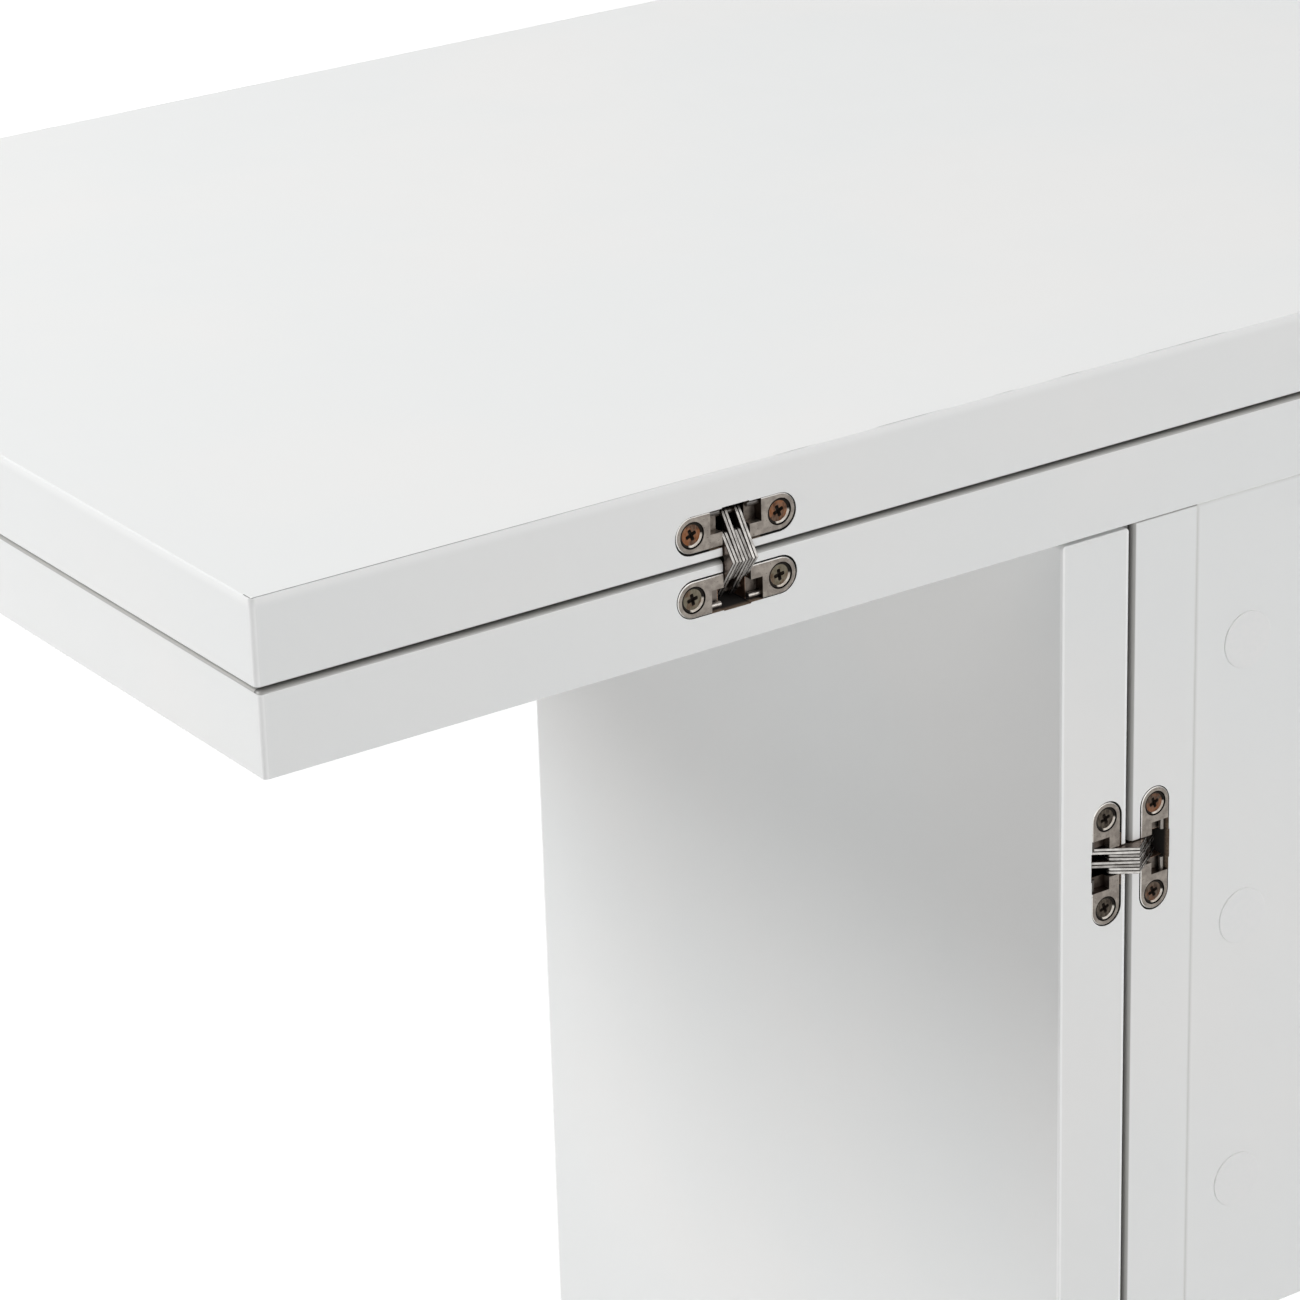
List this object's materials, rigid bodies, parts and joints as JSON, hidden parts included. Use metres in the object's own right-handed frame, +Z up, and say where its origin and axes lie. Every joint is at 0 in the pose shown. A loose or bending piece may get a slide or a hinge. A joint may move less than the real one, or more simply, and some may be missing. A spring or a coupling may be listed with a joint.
{
  "type": "swivel extending table",
  "caption": "Console table with a fold-over top on concealed hinges and two leg panels that swing out to carry the opened leaf.",
  "frame": {"origin": "on the floor under the middle of the folded top", "axes": "X along the table, Y from the front edge with the fold to the back, Z up"},
  "size_m": [1.4, 0.4647, 0.75],
  "materials": {
    "white_lacquer": "satin white lacquer on board",
    "zinc_casting": "satin nickel on die casting",
    "link_steel": "sheared steel strip",
    "pin_steel": "bright drawn steel",
    "screw_plating": "worn nickel over brass tint",
    "cam_zinc": "cast",
    "cap_plastic": "matt white",
    "dowel_wood": "plain beech",
    "glide_plastic": "matt grey",
    "bumper_rubber": "clear soft pad"
  },
  "bodies": {
    "frame": {"lower_leaf": "white_lacquer", "fixed_leg_left": "white_lacquer", "fixed_leg_right": "white_lacquer", "stretcher": "white_lacquer", "leaf_bumpers": "bumper_rubber", "stretcher_cams": "cam_zinc", "stretcher_bolts": "pin_steel", "stretcher_caps": "cap_plastic", "stretcher_dowels": "dowel_wood", "leg_cams": "cam_zinc", "leg_bolts": "pin_steel", "leg_caps": "cap_plastic", "leg_dowels": "dowel_wood", "fixed_glides_left": "glide_plastic", "fixed_glides_right": "glide_plastic", "leaf_hinge_lower_plates": "zinc_casting", "leaf_hinge_lower_screws": "screw_plating", "leaf_hinge_lower_pins": "pin_steel", "left_hinge_fixed_plates": "zinc_casting", "left_hinge_fixed_screws": "screw_plating", "left_hinge_fixed_pins": "pin_steel", "right_hinge_fixed_plates": "zinc_casting", "right_hinge_fixed_screws": "screw_plating", "right_hinge_fixed_pins": "pin_steel"},
    "upper_leaf": {"upper_leaf": "white_lacquer", "leaf_hinge_upper_plates": "zinc_casting", "leaf_hinge_upper_screws": "screw_plating", "leaf_hinge_upper_pins": "pin_steel"},
    "leaf_links_lower": {"leaf_hinge_lower_links": "link_steel", "leaf_hinge_lower_sliders": "pin_steel"},
    "leaf_links_upper": {"leaf_hinge_upper_links": "link_steel", "leaf_hinge_upper_sliders": "pin_steel"},
    "left_swing_leg": {"swing_leg_left": "white_lacquer", "swing_glides_left": "glide_plastic", "left_hinge_swing_plates": "zinc_casting", "left_hinge_swing_screws": "screw_plating", "left_hinge_swing_pins": "pin_steel"},
    "left_links_fixed": {"left_hinge_fixed_links": "link_steel", "left_hinge_fixed_sliders": "pin_steel"},
    "left_links_swing": {"left_hinge_swing_links": "link_steel", "left_hinge_swing_sliders": "pin_steel"},
    "right_swing_leg": {"swing_leg_right": "white_lacquer", "swing_glides_right": "glide_plastic", "right_hinge_swing_plates": "zinc_casting", "right_hinge_swing_screws": "screw_plating", "right_hinge_swing_pins": "pin_steel"},
    "right_links_fixed": {"right_hinge_fixed_links": "link_steel", "right_hinge_fixed_sliders": "pin_steel"},
    "right_links_swing": {"right_hinge_swing_links": "link_steel", "right_hinge_swing_sliders": "pin_steel"}
  },
  "joints": [
    {"name": "leaf_fold", "type": "hinge", "parent": "frame", "child": "upper_leaf", "pos_m": [0, -0.2302, 0.72085], "axis": [1, 0, 0], "range_deg": [0, 180]},
    {"name": "leaf_link_lower_turn", "type": "hinge", "parent": "frame", "child": "leaf_links_lower", "pos_m": [0, -0.22764, 0.71445], "axis": [1, 0, 0], "range_deg": [0, 124.63]},
    {"name": "leaf_link_upper_turn", "type": "hinge", "parent": "upper_leaf", "child": "leaf_links_upper", "pos_m": [0, -0.22764, 0.72725], "axis": [-1, 0, 0], "range_deg": [0, 124.63]},
    {"name": "left_leg_swing", "type": "hinge", "parent": "frame", "child": "left_swing_leg", "pos_m": [-0.36985, -0.2302, 0.3483], "axis": [0, 0, 1], "range_deg": [0, 180]},
    {"name": "left_link_fixed_turn", "type": "hinge", "parent": "frame", "child": "left_links_fixed", "pos_m": [-0.36345, -0.22764, 0.3483], "axis": [0, 0, 1], "range_deg": [0, 124.63]},
    {"name": "left_link_swing_turn", "type": "hinge", "parent": "left_swing_leg", "child": "left_links_swing", "pos_m": [-0.37625, -0.22764, 0.3483], "axis": [0, 0, -1], "range_deg": [0, 124.63]},
    {"name": "right_leg_swing", "type": "hinge", "parent": "frame", "child": "right_swing_leg", "pos_m": [0.36985, -0.2302, 0.3483], "axis": [0, 0, -1], "range_deg": [0, 180]},
    {"name": "right_link_fixed_turn", "type": "hinge", "parent": "frame", "child": "right_links_fixed", "pos_m": [0.36345, -0.22764, 0.3483], "axis": [0, 0, -1], "range_deg": [0, 124.63]},
    {"name": "right_link_swing_turn", "type": "hinge", "parent": "right_swing_leg", "child": "right_links_swing", "pos_m": [0.37625, -0.22764, 0.3483], "axis": [0, 0, 1], "range_deg": [0, 124.63]}
  ],
  "couplings": [
    {"joint": "leaf_link_lower_turn", "follows": "leaf_fold", "ratio": 0.6924},
    {"joint": "leaf_link_upper_turn", "follows": "leaf_fold", "ratio": 0.6924},
    {"joint": "left_link_fixed_turn", "follows": "left_leg_swing", "ratio": 0.6924},
    {"joint": "left_link_swing_turn", "follows": "left_leg_swing", "ratio": 0.6924},
    {"joint": "right_link_fixed_turn", "follows": "right_leg_swing", "ratio": 0.6924},
    {"joint": "right_link_swing_turn", "follows": "right_leg_swing", "ratio": 0.6924}
  ]
}
